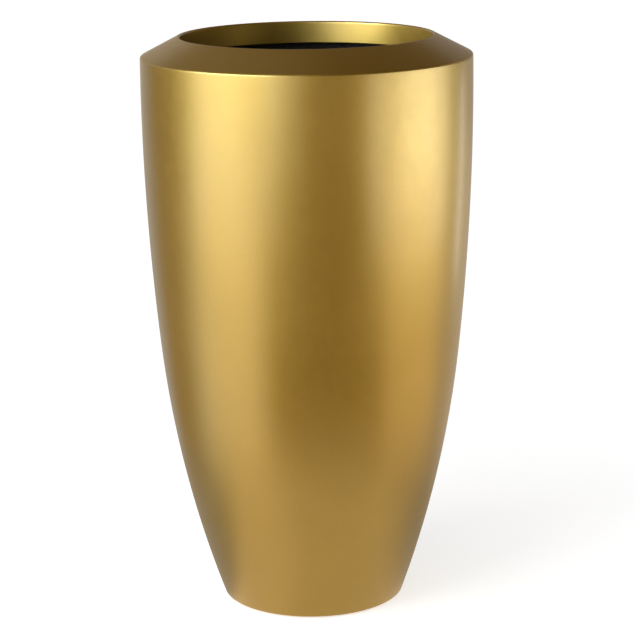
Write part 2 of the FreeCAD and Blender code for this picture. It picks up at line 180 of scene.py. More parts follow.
# Camera of the photograph, as fitted to the planter's outline.
CAMERA_DISTANCE = 3.36242
CAMERA_HEIGHT = 1.26783
CAMERA_PITCH = math.radians(13.64487)
CAMERA_YAW = math.radians(0.19884)
CAMERA_ROLL = math.radians(-0.73263)
FOCAL_PIXELS = 2181.25
IMAGE_PIXELS = 635
SENSOR_WIDTH = 36.0
CLIP_END = 100.0

# Soft boxes as (name, azimuth, distance, low edge, high edge, width, radiance).
SOFT_BOXES = [
    ("key_box", -50.0, 1.5, 0.25, 1.9, 1.8, 0.90),
    ("key_core", -57.0, 1.48, 0.45, 0.80, 0.75, 0.70),
    ("key_top", -51.0, 1.46, 0.98, 1.75, 1.5, 5.6),
    ("key_wing", -16.0, 4.2, 0.02, 2.4, 1.5, 0.9),
    ("fill_box", 72.0, 1.5, 0.2, 0.90, 2.0, 1.38),
    ("fill_core", 76.0, 1.48, 0.42, 0.90, 0.80, 1.3),
    ("edge_strip", 127.0, 2.0, 0.02, 0.60, 0.20, 1.8),
]

# Lamp for the inside.
INSIDE_LAMP_HEIGHT = 2.8
INSIDE_LAMP_POWER = 900.0
INSIDE_LAMP_BLEND = 0.3
INSIDE_LAMP_RADIUS = 0.05

# Lamp for the return lip.
LIP_LAMP_AZIMUTH = -90.0
LIP_LAMP_DISTANCE = 0.25
LIP_LAMP_RISE = 0.12
LIP_LAMP_TARGET = 148.0
LIP_LAMP_SIZE = 0.08
LIP_LAMP_SPREAD = math.radians(50.0)
LIP_LAMP_POWER = 0.066
LIP_LAMP_COLOUR = (1.0, 0.93, 0.80)

# Floor and surroundings. The lift is the floor's own brightness from its near to its far distance.
FLOOR_SIZE = 60.0
FLOOR_REACH = (0.3, 2.5)
FLOOR_LIFT = (0.56, 0.80)
FLOOR_ROUGHNESS = 0.9
WORLD_STRENGTH = (0.3, 1.0)

# Cards round the planter, and the distances and heights between which their shades change.
CARD_SIDES = 96
CARD_DISTANCE = 4.6
CEILING_HEIGHT = 3.2
CEILING_HOLE = 0.01
FLOOR_CARD_HOLE = 0.1
FLOOR_CARD_HEIGHT = 0.001
NEAR_TO_FAR = (0.45, 0.85)
LOW_TO_HIGH = (0.6, 1.3)

# Shades of the cards as (azimuth, brightness, warmth from 0 for neutral to 1 for the full tint).
CARD_TINT = (1.08, 0.67, 0.26)
FIRST_AZIMUTH = -90.0
NEAR_SHADES = [
    (-90, 0.40, 0.4), (-75, 0.46, 0.5), (-58, 0.93, 0.6), (-25, 0.93, 0.6), (-10, 0.80, 0.6),
    (55, 0.80, 0.6), (75, 0.62, 0.6), (90, 0.46, 0.5), (110, 0.36, 0.5), (160, 0.36, 0.5), (270, 0.40, 0.4),
]
FAR_SHADES = [
    (-90, 0.7, 0.3), (-78, 1.4, 0.4), (-40, 1.5, 0.5), (-24, 0.36, 1.0), (48, 0.36, 1.0),
    (58, 1.03, 0.8), (95, 1.03, 0.8), (112, 0.54, 0.6), (150, 0.54, 0.4), (220, 0.48, 0.2),
    (236, 0.38, 0.9), (258, 0.40, 0.9), (270, 0.7, 0.3),
]
LOW_ROOM_SHADES = [
    (-90, 0.40, 0.7), (-10, 0.58, 0.9), (10, 0.67, 0.9), (45, 0.67, 0.9), (70, 0.46, 0.8),
    (110, 0.46, 0.6), (155, 0.38, 0.3), (172, 0.80, 0.3), (190, 0.80, 0.3), (208, 0.44, 0.2),
    (218, 0.44, 0.2), (234, 0.32, 1.0), (258, 0.32, 1.0), (270, 0.40, 0.7),
]
HIGH_ROOM_SHADES = [
    (-90, 0.46, 0.4), (-60, 0.40, 0.6), (-20, 0.08, 1.0), (95, 0.08, 1.0), (120, 0.36, 0.8),
    (148, 0.29, 0.5), (175, 0.29, 0.4), (200, 0.46, 0.5), (270, 0.46, 0.4),
]
CEILING_SHADES = [
    (-90, 0.27, 0.7), (-30, 0.26, 0.9), (20, 0.15, 1.0), (160, 0.15, 1.0), (200, 0.26, 0.8),
    (270, 0.27, 0.7),
]

random.seed(4)


# Outlines

def wall_radius(height, inset=0.0):
    """Radius of the bowed wall at a height, or of the surface that lies inset from it."""
    upper_x = BELLY_RADIUS - UPPER_BOW
    blend_drop = BELLY_HEIGHT - BLEND_HEIGHT
    blend_x = upper_x + math.sqrt(UPPER_BOW ** 2 - blend_drop ** 2)
    inward_x = (upper_x - blend_x) / UPPER_BOW
    inward_z = blend_drop / UPPER_BOW
    if height >= BLEND_HEIGHT + inset * inward_z:
        return upper_x + math.sqrt((UPPER_BOW - inset) ** 2 - (height - BELLY_HEIGHT) ** 2)
    run = blend_x - BASE_RADIUS
    climb = BLEND_HEIGHT - FOOT_STAND
    lower_bow = -(run ** 2 + climb ** 2) / (2 * (run * inward_x + climb * inward_z))
    lower_x = blend_x + inward_x * lower_bow
    lower_z = BLEND_HEIGHT + inward_z * lower_bow
    return lower_x + math.sqrt((lower_bow - inset) ** 2 - (height - lower_z) ** 2)


def wall_points(low, high, count, inset=0.0):
    """Corners (radius, height, no rounding) up the wall."""
    heights = [low + (high - low) * step / count for step in range(count + 1)]
    return [(wall_radius(height, inset), height, 0.0) for height in heights]


def rounded(corners, steps=6):
    """Outline (radius, height) through corners (radius, height, rounding), with arcs at rounded ones."""
    points = []
    for index, (x, z, rounding) in enumerate(corners):
        corner = Vector((x, z))
        if rounding == 0.0:
            points.append(corner)
            continue
        before = (Vector(corners[index - 1][:2]) - corner).normalized()
        after = (Vector(corners[(index + 1) % len(corners)][:2]) - corner).normalized()
        half_angle = before.angle(after) / 2
        centre = corner + (before + after).normalized() * rounding / math.sin(half_angle)
        reach = rounding / math.tan(half_angle)
        start = corner + before * reach - centre
        sweep = start.angle_signed(corner + after * reach - centre)
        for step in range(steps + 1):
            points.append(centre + Matrix.Rotation(-sweep * step / steps, 2) @ start)
    return points


# Meshes

def add_object(name, data):
    """New object in the scene."""
    item = bpy.data.objects.new(name, data)
    bpy.context.scene.collection.objects.link(item)
    return item


def finish_mesh(name, mesh, body, replaced, materials):
    """Turn a mesh into a piece that rides on a body and stands for CAD nodes."""
    mesh.set_sharp_from_angle(angle=SHARP_ANGLE)
    piece = add_object(name, mesh)
    for material in materials:
        mesh.materials.append(material)
    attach(piece, body)
    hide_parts(*replaced)


def mesh_from(name, made):
    """Mesh with the faces of a bmesh, which is then freed."""
    mesh = bpy.data.meshes.new(name)
    made.to_mesh(mesh)
    made.free()
    return mesh


def turned_mesh(name, outline, segments, centre=(0.0, 0.0), shift=None):
    """Closed mesh made by turning an outline about a vertical axis through centre.

    shift(angle, radius, height) gives how far out a point moves.
    """
    made = bmesh.new()
    rings = []
    for radius, height in outline:
        if radius < ON_AXIS:
            rings.append([made.verts.new((centre[0], centre[1], height))])
            continue
        ring = []
        for step in range(segments):
            angle = math.tau * step / segments
            out = shift(angle, radius, height) if shift else 0.0
            ring.append(made.verts.new((
                centre[0] + (radius + out) * math.cos(angle),
                centre[1] + (radius + out) * math.sin(angle),
                height,
            )))
        rings.append(ring)
    for index, ring in enumerate(rings):
        following = rings[(index + 1) % len(rings)]
        if len(ring) == 1 and len(following) == 1:
            continue
        for step in range(segments):
            after = (step + 1) % segments
            corners = [ring[step % len(ring)], ring[after % len(ring)],
                       following[after % len(following)], following[step % len(following)]]
            made.faces.new(list(dict.fromkeys(corners)))
    bmesh.ops.recalc_face_normals(made, faces=made.faces)
    mesh = mesh_from(name, made)
    mesh.shade_smooth()
    return mesh


def carved(mesh, cutter_meshes):
    """The mesh with the cutters' shapes taken out of it."""
    subject = add_object("carved", mesh)
    cutters = [add_object("cutter", cutter_mesh) for cutter_mesh in cutter_meshes]
    for cutter in cutters:
        cut = subject.modifiers.new("cut", "BOOLEAN")
        cut.operation = "DIFFERENCE"
        cut.solver = "EXACT"
        cut.object = cutter
    depsgraph = bpy.context.evaluated_depsgraph_get()
    made = bpy.data.meshes.new_from_object(subject.evaluated_get(depsgraph))
    made.name = mesh.name
    for leftover in (subject, *cutters):
        bpy.data.objects.remove(leftover)
    return made


def bored(mesh, holes):
    """The mesh with upright round holes (x, y, radius) cut right through it."""
    cutters = []
    for x, y, radius in holes:
        outline = [(0.0, CUT_LOW), (radius, CUT_LOW), (radius, CUT_HIGH), (0.0, CUT_HIGH)]
        cutters.append(turned_mesh("hole", outline, SMALL_SEGMENTS, (x, y)))
    return carved(mesh, cutters)


def paint_faces(mesh, chooser):
    """Give each face the material slot that chooser(centre, normal) names."""
    for face in mesh.polygons:
        face.material_index = chooser(face.center, face.normal)


def node_centre(node):
    """Place on the floor plan of a CAD node's middle."""
    low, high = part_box(node)
    return (low.x + high.x) / 2, (low.y + high.y) / 2


# Shader helpers

def feed(tree, socket, value):
    """Link a socket to another node's output, or set it to a plain value."""
    if isinstance(value, bpy.types.NodeSocket):
        tree.links.new(value, socket)
    else:
        socket.default_value = value


def connect(tree, node, **inputs):
    """Set or link a node's inputs by name."""
    for key, value in inputs.items():
        feed(tree, node.inputs[key.replace("_", " ")], value)


def add(tree, kind, settings=None, **inputs):
    """Add a node, set its properties, and set or link its inputs by name."""
    made = tree.nodes.new(kind)
    for key, value in (settings or {}).items():
        setattr(made, key, value)
    connect(tree, made, **inputs)
    return made


def calculate(tree, operation, *values):
    """Result of a sum, product or the like."""
    made = add(tree, "ShaderNodeMath", {"operation": operation})
    for socket, value in zip(made.inputs, values):
        feed(tree, socket, value)
    return made.outputs[0]


def span(tree, value, start, end=UNIT):
    """Value moved from one range (low, high) to another, held at its ends."""
    made = add(tree, "ShaderNodeMapRange", Value=value, From_Min=start[0], From_Max=start[1],
               To_Min=end[0], To_Max=end[1])
    return made.outputs["Result"]


def mix_colours(tree, factor, first, second):
    """One colour where factor is 0, the other where it is 1."""
    made = add(tree, "ShaderNodeMix", {"data_type": "RGBA"})
    for index, value in ((MIX_FACTOR, factor), (MIX_FIRST, first), (MIX_SECOND, second)):
        feed(tree, made.inputs[index], value)
    return made.outputs[MIX_RESULT]


def noise(tree, place, scale, detail=3.0, roughness=0.55):
    """Cloudy value between 0 and 1, mostly near the middle."""
    made = add(tree, "ShaderNodeTexNoise", Vector=place, Scale=scale, Detail=detail, Roughness=roughness)
    return made.outputs["Fac"]


def bump(tree, height, distance, under=None):
    """Surface normal raised by height times distance, over another normal if there is one."""
    made = add(tree, "ShaderNodeBump", Height=height, Distance=distance, Strength=1.0)
    if under is not None:
        connect(tree, made, Normal=under)
    return made.outputs["Normal"]


def upward(tree, vector):
    """Vertical part of a vector."""
    return add(tree, "ShaderNodeSeparateXYZ", Vector=vector).outputs["Z"]


def distance_out(tree, place):
    """Distance of a place from the origin."""
    return add(tree, "ShaderNodeVectorMath", {"operation": "LENGTH"}, Vector=place).outputs["Value"]


def new_material(name):
    """Material with its surface shader and its place coordinates in metres."""
    material = bpy.data.materials.new(name)
    material.use_nodes = True
    tree = material.node_tree
    surface = tree.nodes["Principled BSDF"]
    place = add(tree, "ShaderNodeTexCoord").outputs["Object"]
    return material, tree, surface, place


# Materials

def gold_lacquer():
    """Satin gold metallic lacquer: flakes in a tinted base under a clear coat."""
    cloud_range = (0.35, 0.65)
    bright_flakes, flake_share = (0.80, 1.0), (0.0, 0.5)
    wave_height, peel_height, flake_height = 0.0006, 0.000015, 0.00001
    material, tree, surface, place = new_material("gold_lacquer")
    cloud = noise(tree, place, scale=5.0, detail=2.0)
    base = mix_colours(tree, span(tree, cloud, cloud_range), GOLD, GOLD_DEEP)
    flakes = add(tree, "ShaderNodeTexVoronoi", Vector=place, Scale=1600.0)
    sparkle = add(tree, "ShaderNodeSeparateColor", Color=flakes.outputs["Color"])
    bright = span(tree, sparkle.outputs["Red"], bright_flakes, flake_share)
    mottle = noise(tree, place, scale=60.0, detail=4.0)
    wave = bump(tree, noise(tree, place, scale=7.0, detail=1.0), wave_height)
    peel = bump(tree, noise(tree, place, scale=420.0, detail=2.0), peel_height, wave)
    connect(tree, surface, Base_Color=mix_colours(tree, bright, base, GOLD_FLAKE), Metallic=1.0,
            Roughness=span(tree, mottle, MOST_NOISE, GOLD_ROUGHNESS),
            Normal=bump(tree, sparkle.outputs["Green"], flake_height, peel),
            Coat_Normal=peel, Coat_Weight=1.0, Coat_Roughness=0.26, Coat_IOR=1.7)
    return material


def chopped_strands(tree, place):
    """1 along thin straight strands that lie in many directions, 0 between them."""
    covered = None
    for index in range(STRAND_LAYERS):
        rise = math.asin((index + 0.5) / STRAND_LAYERS)
        laid = add(tree, "ShaderNodeMapping", {"vector_type": "TEXTURE"}, Vector=place, Scale=STRAND_SIZE,
                   Rotation=(0.0, -rise, index * GOLDEN_ANGLE))
        streak = noise(tree, laid.outputs["Vector"], scale=1.0, detail=1.0)
        strand = span(tree, streak, STRAND_EDGE)
        covered = strand if covered is None else calculate(tree, "MAXIMUM", covered, strand)
    return covered


def black_laminate():
    """Bare side of the laminate: chopped glass strands showing through black resin."""
    strand_share, lump_height, strand_height = 0.4, 0.0006, 0.0002
    material, tree, surface, place = new_material("black_laminate")
    strand = chopped_strands(tree, place)
    lumps = noise(tree, place, scale=220.0, detail=4.0)
    resin = mix_colours(tree, lumps, RESIN_DARK, RESIN_LIGHT)
    shown = calculate(tree, "MULTIPLY", strand, strand_share)
    connect(tree, surface, Base_Color=mix_colours(tree, shown, resin, GLASS_STRAND),
            Roughness=span(tree, lumps, MOST_NOISE, RESIN_ROUGHNESS),
            Normal=bump(tree, lumps, lump_height, bump(tree, strand, strand_height)))
    return material


def moulded(name, dark, light, roughness, grain_scale, grain_height):
    """Dark moulded plastic or rubber: faint mottle, fine grain and scuffs."""
    mottle_range = (0.35, 0.7)
    material, tree, surface, place = new_material(name)
    mottle = noise(tree, place, scale=90.0, detail=4.0)
    scuff = noise(tree, place, scale=900.0, detail=6.0, roughness=0.7)
    grain = noise(tree, place, grain_scale)
    connect(tree, surface, Base_Color=mix_colours(tree, span(tree, mottle, mottle_range), dark, light),
            Roughness=span(tree, scuff, MOST_NOISE, roughness), Normal=bump(tree, grain, grain_height))
    return material


def bonding_paste():
    """Filled bonding paste, troweled by hand: chalky, with smears and pinholes."""
    pit_range, pit_depth, smear_height = (0.0, 0.25), 0.0004, 0.002
    material, tree, surface, place = new_material("bonding_paste")
    smear = noise(tree, place, scale=70.0, detail=5.0)
    pits = add(tree, "ShaderNodeTexVoronoi", Vector=place, Scale=380.0)
    pit = span(tree, pits.outputs["Distance"], pit_range)
    connect(tree, surface, Base_Color=mix_colours(tree, smear, PASTE_DARK, PASTE_LIGHT),
            Roughness=span(tree, smear, MOST_NOISE, PASTE_ROUGHNESS),
            Normal=bump(tree, pit, pit_depth, bump(tree, smear, smear_height)))
    return material


def plywood():
    """Birch plywood: long grain on the faces, dark and light plies on the edge."""
    grain_stretch, grain_range, grain_height = (6.0, 90.0, 40.0), (0.2, 0.8), 0.0003
    ply, glue_range = 0.0013, (0.0004, 0.0009)
    material, tree, surface, place = new_material("plywood")
    stretched = add(tree, "ShaderNodeMapping", Vector=place, Scale=grain_stretch)
    grain = noise(tree, stretched.outputs["Vector"], scale=3.0, detail=6.0)
    face = mix_colours(tree, span(tree, grain, MOST_NOISE), BIRCH_DARK, BIRCH_LIGHT)
    plies = calculate(tree, "PINGPONG", upward(tree, place), ply)
    edge = mix_colours(tree, span(tree, plies, glue_range), GLUE_LINE, face)
    normal = add(tree, "ShaderNodeNewGeometry").outputs["Normal"]
    level = calculate(tree, "ABSOLUTE", upward(tree, normal))
    connect(tree, surface, Base_Color=mix_colours(tree, level, edge, face),
            Roughness=span(tree, grain, grain_range, BIRCH_ROUGHNESS),
            Normal=bump(tree, grain, grain_height))
    return material


def zinc():
    """Bright zinc plating with a faint passivated tint and fine tool marks."""
    mark_depth = 0.00002
    material, tree, surface, place = new_material("zinc_screw")
    tint = noise(tree, place, scale=300.0)
    marks = noise(tree, place, scale=2500.0, detail=2.0)
    connect(tree, surface, Base_Color=mix_colours(tree, tint, ZINC, ZINC_TINT), Metallic=1.0,
            Roughness=span(tree, marks, MOST_NOISE, ZINC_ROUGHNESS), Normal=bump(tree, marks, mark_depth))
    return material


# Pieces

def drain_holes():
    """Holes for the drain bushes."""
    return [(*node_centre(f"drain_bush_{index}"), DRAIN_HOLE) for index in DRAINS]


def screw_holes():
    """Holes for the foot screws."""
    return [(*node_centre(f"foot_{index}"), SCREW_HOLE) for index in FEET]


def shell_moulding(gold, laminate):
    """Bowed wall with the standing ring, moat and raised floor, gold outside and bare inside."""
    wall_start, facing_down = 0.02, -0.3
    ring_inside = BASE_RADIUS - RING_WIDTH
    recess = ring_inside - RECESS_DRAFT
    moat_height = FOOT_STAND + LAMINATE
    outside = wall_points(FOOT_STAND + wall_start, SEAM_HEIGHT, OUTSIDE_STEPS)
    inside = wall_points(moat_height + wall_start, SEAM_HEIGHT, INSIDE_STEPS, LAMINATE)
    outline = rounded([
        (0.0, RECESS_HEIGHT, 0.0),
        (recess, RECESS_HEIGHT, FLOOR_ROUND),
        (ring_inside, FOOT_STAND, RING_ROUND),
        (BASE_RADIUS, FOOT_STAND, BASE_ROUND),
        *outside,
        *reversed(inside),
        (wall_radius(moat_height, LAMINATE), moat_height, FLOOR_ROUND),
        (ring_inside + LAMINATE, moat_height, FLOOR_ROUND),
        (recess + LAMINATE, FLOOR_HEIGHT, FLOOR_ROUND),
        (0.0, FLOOR_HEIGHT, 0.0),
    ])
    mesh = bored(turned_mesh("shell_moulding", outline, WALL_SEGMENTS), drain_holes() + screw_holes())

    def side(centre, normal):
        radius = centre.xy.length
        on_wall = radius > wall_radius(centre.z) - LAMINATE / 2
        on_ring = normal.z < facing_down and centre.z < FOOT_STAND + BASE_ROUND and radius > ring_inside
        return GOLD_SIDE if on_wall or on_ring else BARE_SIDE

    paint_faces(mesh, side)
    finish_mesh("shell_moulding", mesh, "planter", ["body_shell"], [gold, laminate])


def rim_moulding(gold, laminate):
    """Collar: shoulder, bevel, mouth edge and return lip in gold, with a bare skirt inside the shell."""
    facing_up, facing_out = 0.3, 0.5
    shoulder_z = HEIGHT - RIM_RISE
    shoulder_x = wall_radius(shoulder_z)
    round_x, round_z = MOUTH_RADIUS + MOUTH_ROUND, HEIGHT - MOUTH_ROUND
    run, climb = round_x - shoulder_x, round_z - shoulder_z
    length = math.sqrt(run ** 2 + climb ** 2 - MOUTH_ROUND ** 2)
    across = (run * length + climb * MOUTH_ROUND) / (run ** 2 + climb ** 2)
    rise = (climb * length - run * MOUTH_ROUND) / (run ** 2 + climb ** 2)
    mouth_z = shoulder_z + (MOUTH_RADIUS - shoulder_x) * rise / across
    lip_z = HEIGHT - LIP_DEPTH
    lip_front = MOUTH_RADIUS - LIP_DRAFT
    lip_back = MOUTH_RADIUS + LAMINATE
    spigot_out = min(wall_radius(SEAM_HEIGHT, LAMINATE), wall_radius(SPIGOT_HEIGHT, LAMINATE)) - FIT_GAP
    spigot_in = spigot_out - LAMINATE
    under_x, under_z = shoulder_x - LAMINATE * rise, shoulder_z + LAMINATE * across

    def under(x):
        return under_z + (x - under_x) * rise / across

    outline = rounded([
        (wall_radius(SEAM_HEIGHT), SEAM_HEIGHT, 0.0),
        (shoulder_x, shoulder_z, SHOULDER_ROUND),
        (MOUTH_RADIUS, mouth_z, MOUTH_ROUND),
        (MOUTH_RADIUS, HEIGHT - 2 * MOUTH_ROUND, 0.0),
        (lip_front, lip_z, LIP_ROUND),
        (lip_back - LIP_DRAFT, lip_z, LIP_ROUND),
        (lip_back, under(lip_back), SKIRT_TOP_ROUND),
        (spigot_in, under(spigot_in), SKIRT_TOP_ROUND),
        (spigot_in, SPIGOT_HEIGHT, SKIRT_END_ROUND),
        (spigot_out, SPIGOT_HEIGHT, SKIRT_END_ROUND),
        (spigot_out, SEAM_HEIGHT, 0.0),
    ], steps=10)
    mesh = turned_mesh("rim_moulding", outline, WALL_SEGMENTS)
    lip_middle = MOUTH_RADIUS + LAMINATE / 2

    def side(centre, normal):
        radius = centre.xy.length
        outward = (centre.x * normal.x + centre.y * normal.y) / radius
        lip = radius < lip_middle and outward < facing_out
        bevel = normal.z > facing_up
        wall = outward > facing_out and radius > shoulder_x - SHOULDER_ROUND and centre.z > SEAM_HEIGHT
        return GOLD_SIDE if lip or bevel or wall else BARE_SIDE

    paint_faces(mesh, side)
    finish_mesh("rim_moulding", mesh, "planter", ["rim_collar"], [gold, laminate])


def paste_bead(paste):
    """Lumpy fillet of paste in the corner under the collar skirt."""
    low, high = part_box("rim_bond_bead")
    width, wall_gap, draw_in = 0.006, 0.0006, 0.0012
    hollow_across, hollow_down, hollow_round = 0.55, 0.62, 0.004
    wave_count, fewest_lumps, most_lumps = 7, 5, 60
    waves = []
    for _ in range(wave_count):
        waves.append((random.randint(fewest_lumps, most_lumps), random.uniform(0, math.tau)))
    top = wall_radius(high.z, LAMINATE) - wall_gap
    bottom = wall_radius(low.z, LAMINATE) - wall_gap

    def lumpy(angle, radius, height):
        swell = sum(math.sin(count * angle + phase) for count, phase in waves) / len(waves)
        inner = (top - radius) / width
        return draw_in * inner * (0.5 + 0.5 * swell)

    outline = rounded([
        (top - width, high.z, 0.0),
        (top - width * hollow_across, high.z - (high.z - low.z) * hollow_down, hollow_round),
        (bottom, low.z, 0.0),
        (top, high.z, 0.0),
    ], steps=5)
    mesh = turned_mesh("paste_bead", outline, WALL_SEGMENTS, shift=lumpy)
    finish_mesh("paste_bead", mesh, "planter", ["rim_bond_bead"], [paste])


def cover_laminate(laminate):
    """Laminate hat over the core, with soft edges and drain holes."""
    inside_round, lap_round, root_round, top_round = 0.0004, 0.0012, 0.003, 0.0025
    side_x = COVER_RADIUS - COVER_LAP
    inside_x = side_x - COVER_SKIN
    lap_z = FLOOR_HEIGHT + COVER_SKIN
    outline = rounded([
        (0.0, CORE_TOP, 0.0),
        (inside_x, CORE_TOP, inside_round),
        (inside_x, FLOOR_HEIGHT, 0.0),
        (COVER_RADIUS, FLOOR_HEIGHT, 0.0),
        (COVER_RADIUS, lap_z, lap_round),
        (side_x, lap_z, root_round),
        (side_x, COVER_TOP, top_round),
        (0.0, COVER_TOP, 0.0),
    ])
    mesh = bored(turned_mesh("cover_laminate", outline, WALL_SEGMENTS), drain_holes())
    finish_mesh("cover_laminate", mesh, "planter", ["floor_cover"], [laminate])


def drain_liner(index, nylon):
    """Flanged bush with eased edges."""
    low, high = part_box(f"drain_bush_{index}")
    root_round, fine_round, tube_round, flange_round = 0.0002, 0.0004, 0.0006, 0.0008
    tube = DRAIN_BORE + BUSH_WALL
    flange = (high.x - low.x) / 2
    outline = rounded([
        (DRAIN_BORE, low.z, fine_round),
        (tube, low.z, tube_round),
        (tube, COVER_TOP, root_round),
        (flange, COVER_TOP, fine_round),
        (flange, high.z, flange_round),
        (DRAIN_BORE, high.z, tube_round),
    ])
    name = f"drain_liner_{index}"
    mesh = turned_mesh(name, outline, SMALL_SEGMENTS, node_centre(f"drain_bush_{index}"))
    finish_mesh(name, mesh, "planter", [f"drain_bush_{index}"], [nylon])


def stopper(index, rubber):
    """Rubber plug: straight stem with a lead, low domed flange, neck, and a ribbed grip with a dimple."""
    node = f"drain_plug_{index}"
    low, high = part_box(node)
    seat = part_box(f"drain_bush_{index}")[1].z
    stem_play, lead = 0.0001, 0.002
    stem = DRAIN_BORE - stem_play
    flange = (high.x - low.x) / 2
    neck, grip = 0.0055, 0.0095
    flange_rise, flange_dome, grip_height, grip_bevel = 0.004, 0.0012, 0.008, 0.002
    flange_top, grip_low = seat + flange_rise, high.z - grip_height
    ribs, rib_depth, rib_play = 24, 0.0005, 0.0003
    rib_low, rib_high = high.z - 0.0055, high.z - 0.0025
    dimple_edge, dimple_floor, dimple_depth = 0.004, 0.003, 0.0008
    fine_round, lead_round, flange_round, bevel_round, neck_round = 0.0006, 0.0008, 0.001, 0.0012, 0.002

    def ribbed(angle, radius, height):
        on_side = radius > grip - rib_play and rib_low - rib_play < height < rib_high + rib_play
        return -rib_depth * (0.5 + 0.5 * math.cos(ribs * angle)) if on_side else 0.0

    outline = rounded([
        (0.0, low.z, 0.0),
        (stem - lead, low.z, lead_round),
        (stem, low.z + lead, lead_round),
        (stem, seat, 0.0),
        (flange, seat, fine_round),
        (flange, flange_top - flange_dome, flange_round),
        (neck, flange_top, neck_round),
        (neck, grip_low, neck_round),
        (grip, grip_low, flange_round),
        (grip, rib_low, 0.0),
        (grip, rib_high, 0.0),
        (grip, high.z - grip_bevel, fine_round),
        (grip - grip_bevel, high.z, bevel_round),
        (dimple_edge, high.z, fine_round),
        (dimple_floor, high.z - dimple_depth, fine_round),
        (0.0, high.z - dimple_depth, 0.0),
    ], steps=5)
    name = f"stopper_{index}"
    mesh = turned_mesh(name, outline, 2 * SMALL_SEGMENTS, node_centre(node), ribbed)
    finish_mesh(name, mesh, node, [node], [rubber])


def rubber_foot(index, rubber):
    """Foot with soft edges and two grip rings in its sole."""
    node = f"foot_{index}"
    low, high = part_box(node)
    radius = (high.x - low.x) / 2
    bore_round, sole_round, top_round = 0.0004, 0.0012, 0.0006
    grooves, groove_depth, groove_width = (0.0075, 0.0105), 0.0006, 0.0009
    corners = [(COUNTERBORE, low.z, bore_round)]
    for groove in grooves:
        corners += [
            (groove, low.z, 0.0),
            (groove + groove_width / 3, low.z + groove_depth, 0.0),
            (groove + groove_width * 2 / 3, low.z + groove_depth, 0.0),
            (groove + groove_width, low.z, 0.0),
        ]
    corners += [
        (radius, low.z, sole_round),
        (radius, high.z, top_round),
        (SCREW_HOLE, high.z, 0.0),
        (SCREW_HOLE, low.z + COUNTERBORE_DEPTH, 0.0),
        (COUNTERBORE, low.z + COUNTERBORE_DEPTH, 0.0),
    ]
    name = f"rubber_foot_{index}"
    mesh = turned_mesh(name, rounded(corners), SMALL_SEGMENTS, node_centre(node))
    finish_mesh(name, mesh, "planter", [node], [rubber])


def screw_mesh(centre, low, high):
    """Pan-head screw, head down, with a threaded shank."""
    head_height, head_bevel, head_round, rim_round = 0.003, 0.0012, 0.0008, 0.0002
    plain_length, point_length = 0.004, 0.003
    pitch, thread = 0.0014, 0.00025
    head_top = low + head_height
    root = SCREW_SHANK - thread
    point = high - point_length
    corners = [
        (0.0, low, 0.0),
        (SCREW_HEAD - head_bevel, low, head_round),
        (SCREW_HEAD, low + head_bevel, head_round),
        (SCREW_HEAD, head_top, rim_round),
        (root, head_top, 0.0),
    ]
    height = head_top + plain_length
    while height + pitch < point:
        corners += [(root, height, 0.0), (SCREW_SHANK, height + pitch / 2, 0.0)]
        height += pitch
    corners += [(root, height, 0.0), (root, point, 0.0), (0.0, high, 0.0)]
    return turned_mesh("screw", rounded(corners), SCREW_SEGMENTS, centre)


def cross_cutter(centre, low):
    """Four-armed recess of a cross drive."""
    arm, half_width, depth = 0.0024, 0.00055, 0.0018
    plan = []
    for quarter in range(4):
        turn = Matrix.Rotation(quarter * math.pi / 2, 2)
        for corner in ((half_width, -half_width), (arm, -half_width), (arm, half_width)):
            plan.append(turn @ Vector(corner))
    made = bmesh.new()
    bottom, top = (
        [made.verts.new((centre[0] + corner.x, centre[1] + corner.y, height)) for corner in plan]
        for height in (low - depth, low + depth)
    )
    made.faces.new(bottom)
    made.faces.new(top)
    for index, corner in enumerate(bottom):
        made.faces.new((bottom[index - 1], corner, top[index], top[index - 1]))
    bmesh.ops.recalc_face_normals(made, faces=made.faces)
    return mesh_from("cross_cutter", made)


def foot_fixings(metal):
    """The four foot screws as one piece, each with a cross recess."""
    low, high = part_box("foot_screws")
    joined = bmesh.new()
    for index in FEET:
        centre = node_centre(f"foot_{index}")
        joined.from_mesh(carved(screw_mesh(centre, low.z, high.z), [cross_cutter(centre, low.z)]))
    mesh = mesh_from("foot_fixings", joined)
    finish_mesh("foot_fixings", mesh, "planter", ["foot_screws"], [metal])


# Studio

def bearing(azimuth, distance, height):
    """Place in the studio: azimuth in degrees from the camera's side, positive to its right."""
    angle = math.radians(azimuth)
    return Vector((distance * math.sin(angle), -distance * math.cos(angle), height))


def aim(item, place, target):
    """Put a lamp at a place and turn it to a target."""
    item.location = place
    item.rotation_euler = (target - place).to_track_quat("-Z", "Y").to_euler()


def camera():
    """Camera at the photograph's viewpoint."""
    forward = Vector((
        math.sin(CAMERA_YAW) * math.cos(CAMERA_PITCH),
        math.cos(CAMERA_YAW) * math.cos(CAMERA_PITCH),
        -math.sin(CAMERA_PITCH),
    ))
    level = Vector((math.cos(CAMERA_YAW), -math.sin(CAMERA_YAW), 0.0))
    above = level.cross(forward)
    right = math.cos(CAMERA_ROLL) * level + math.sin(CAMERA_ROLL) * above
    up = math.cos(CAMERA_ROLL) * above - math.sin(CAMERA_ROLL) * level
    data = bpy.data.cameras.new("camera")
    data.sensor_width = SENSOR_WIDTH
    data.lens = SENSOR_WIDTH * FOCAL_PIXELS / IMAGE_PIXELS
    data.clip_end = CLIP_END
    item = add_object("camera", data)
    turn = Matrix((right, up, -forward)).transposed().to_4x4()
    item.matrix_world = Matrix.Translation((0.0, -CAMERA_DISTANCE, CAMERA_HEIGHT)) @ turn
    bpy.context.scene.camera = item


def add_lamp(name, kind, energy):
    """New lamp in the scene."""
    data = bpy.data.lights.new(name, kind)
    data.energy = energy
    return add_object(name, data)


